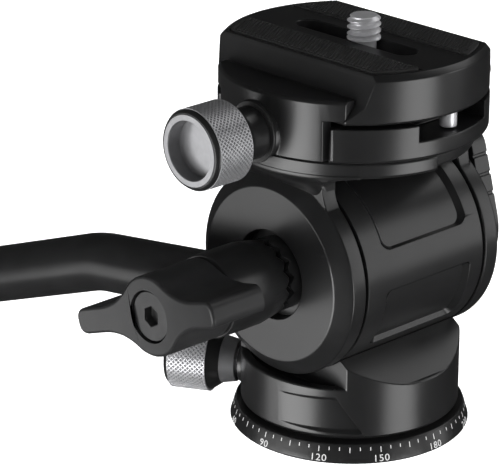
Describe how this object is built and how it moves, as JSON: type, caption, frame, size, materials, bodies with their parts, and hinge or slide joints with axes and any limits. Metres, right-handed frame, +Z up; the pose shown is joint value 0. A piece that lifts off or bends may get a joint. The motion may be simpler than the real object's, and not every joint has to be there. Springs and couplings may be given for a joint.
{
  "type": "fluid video head",
  "caption": "Compact black fluid video head: panning dial base, damped tilt drum in a cradle, dovetail quick-release clamp and plate, locking knobs and a bent side handle.",
  "frame": {"origin": "centre of the tripod thread's mouth, on the face that sits on the tripod", "axes": "+Z up along the pan axis; the front of the head faces -Y; the handle, wing knob and clamp knob are on the -X side, and the tilt axis lies along X"},
  "size_m": [0.0799, 0.1858, 0.1051],
  "materials": {
    "black_metal": "matte black anodised, fine grain",
    "satin_black_metal": "satin black anodised",
    "knurled_metal": "grey anodised with diamond knurl and bright bevels",
    "inner_aluminium": "machined",
    "steel": "bright turned steel",
    "black_steel": "black oxide steel",
    "black_plastic": "moulded black sliding plastic",
    "bronze": "turned",
    "rubber": "moulded black rubber",
    "slide_plastic": "white sliding plastic"
  },
  "bodies": {
    "base": {"dial_base": "black_metal", "tripod_insert": "steel", "pan_spindle": "inner_aluminium", "base_screws": "steel", "pan_glide_ring": "black_plastic", "pan_thrust_washer": "slide_plastic", "spindle_cap": "inner_aluminium", "spindle_cap_screws": "steel"},
    "pan": {"pan_housing": "black_metal", "drum_screws": "steel", "pan_lock_insert": "bronze", "tilt_drum": "black_metal", "drum_cover": "inner_aluminium", "drum_cover_screws": "steel", "axle_bush_left": "bronze", "axle_bush_right": "bronze", "axle_seals": "rubber", "damper_stator_rings": "inner_aluminium", "tilt_washer_left": "black_plastic", "tilt_washer_right": "black_plastic", "tilt_knob_retainer": "inner_aluminium"},
    "pan_shoe": {"pan_brake_shoe": "bronze"},
    "pan_knob": {"pan_lock_screw": "steel", "pan_lock_knob": "knurled_metal"},
    "tilt_brake": {"tilt_brake_washer": "steel"},
    "tilt_knob": {"tilt_lock_knob": "black_metal"},
    "cradle": {"tilt_cradle": "black_metal", "tilt_axle": "steel", "damper_rotor": "inner_aluminium", "cheek_rosette": "black_steel", "clamp_base": "black_metal", "clamp_bolts": "steel", "jaw_guide_pins": "steel", "jaw_springs": "steel"},
    "jaw": {"movable_jaw": "black_metal", "jaw_washer": "black_plastic"},
    "clamp_handle": {"clamp_screw": "steel", "clamp_knob": "knurled_metal"},
    "plate": {"release_plate": "black_metal", "grip_pad_left": "rubber", "grip_pad_right": "rubber", "plate_stop_pins": "steel"},
    "screw_carrier": {"screw_slider": "slide_plastic"},
    "camera_bolt": {"camera_screw": "steel"},
    "handle": {"handle_hub": "satin_black_metal", "handle_rod": "satin_black_metal", "handle_grip": "rubber", "handle_end_cap": "satin_black_metal"},
    "wing_spacer": {"wing_washer": "steel"},
    "wing": {"wing_knob": "satin_black_metal", "wing_bolt": "black_steel"}
  },
  "joints": [
    {"name": "pan_turn", "type": "hinge", "parent": "base", "child": "pan", "pos_m": [0, 0, 0.01], "axis": [0, 0, 1], "continuous": true},
    {"name": "pan_shoe_slide", "type": "slide", "parent": "pan", "child": "pan_shoe", "axis": [0.5, -0.866, 0], "range_m": [0, 0.0005]},
    {"name": "pan_lock_turn", "type": "hinge", "parent": "pan_shoe", "child": "pan_knob", "pos_m": [0, 0, 0.00865], "axis": [0.5, -0.866, 0], "range_deg": [0, 225]},
    {"name": "tilt_brake_slide", "type": "slide", "parent": "pan", "child": "tilt_brake", "axis": [-1, 0, 0], "range_m": [0, 0.00025]},
    {"name": "tilt_lock_turn", "type": "hinge", "parent": "tilt_brake", "child": "tilt_knob", "pos_m": [0.0245, 0, 0.0355], "axis": [-1, 0, 0], "range_deg": [0, 90]},
    {"name": "tilt", "type": "hinge", "parent": "pan", "child": "cradle", "pos_m": [0, 0, 0.0355], "axis": [1, 0, 0], "range_deg": [-60, 90]},
    {"name": "jaw_slide", "type": "slide", "parent": "cradle", "child": "jaw", "axis": [-1, 0, 0], "range_m": [0, 0.0025]},
    {"name": "clamp_turn", "type": "hinge", "parent": "jaw", "child": "clamp_handle", "pos_m": [-0.03, 0, 0.0647], "axis": [-1, 0, 0], "range_deg": [0, 900]},
    {"name": "plate_slide", "type": "slide", "parent": "cradle", "child": "plate", "axis": [0, 1, 0], "range_m": [-0.0025, 0.0025]},
    {"name": "screw_slide", "type": "slide", "parent": "plate", "child": "screw_carrier", "axis": [0, 1, 0], "range_m": [-0.0105, 0.0145]},
    {"name": "camera_screw_turn", "type": "hinge", "parent": "screw_carrier", "child": "camera_bolt", "pos_m": [0, -0.0025, 0.07], "axis": [0, 0, 1], "continuous": true},
    {"name": "handle_turn", "type": "hinge", "parent": "cradle", "child": "handle", "pos_m": [-0.03, 0, 0.0355], "axis": [1, 0, 0], "range_deg": [-60, 45]},
    {"name": "wing_spacer_slide", "type": "slide", "parent": "handle", "child": "wing_spacer", "axis": [-1, 0, 0], "range_m": [0, 0.001]},
    {"name": "wing_turn", "type": "hinge", "parent": "wing_spacer", "child": "wing", "pos_m": [-0.045, 0, 0.0355], "axis": [-1, 0, 0], "range_deg": [0, 360]}
  ],
  "couplings": [
    {"joint": "pan_lock_turn", "follows": "pan_shoe_slide", "rad_per_m": 7853.9},
    {"joint": "tilt_lock_turn", "follows": "tilt_brake_slide", "rad_per_m": 6283.1},
    {"joint": "clamp_turn", "follows": "jaw_slide", "rad_per_m": 6283.1},
    {"joint": "wing_turn", "follows": "wing_spacer_slide", "rad_per_m": 6283.1}
  ]
}
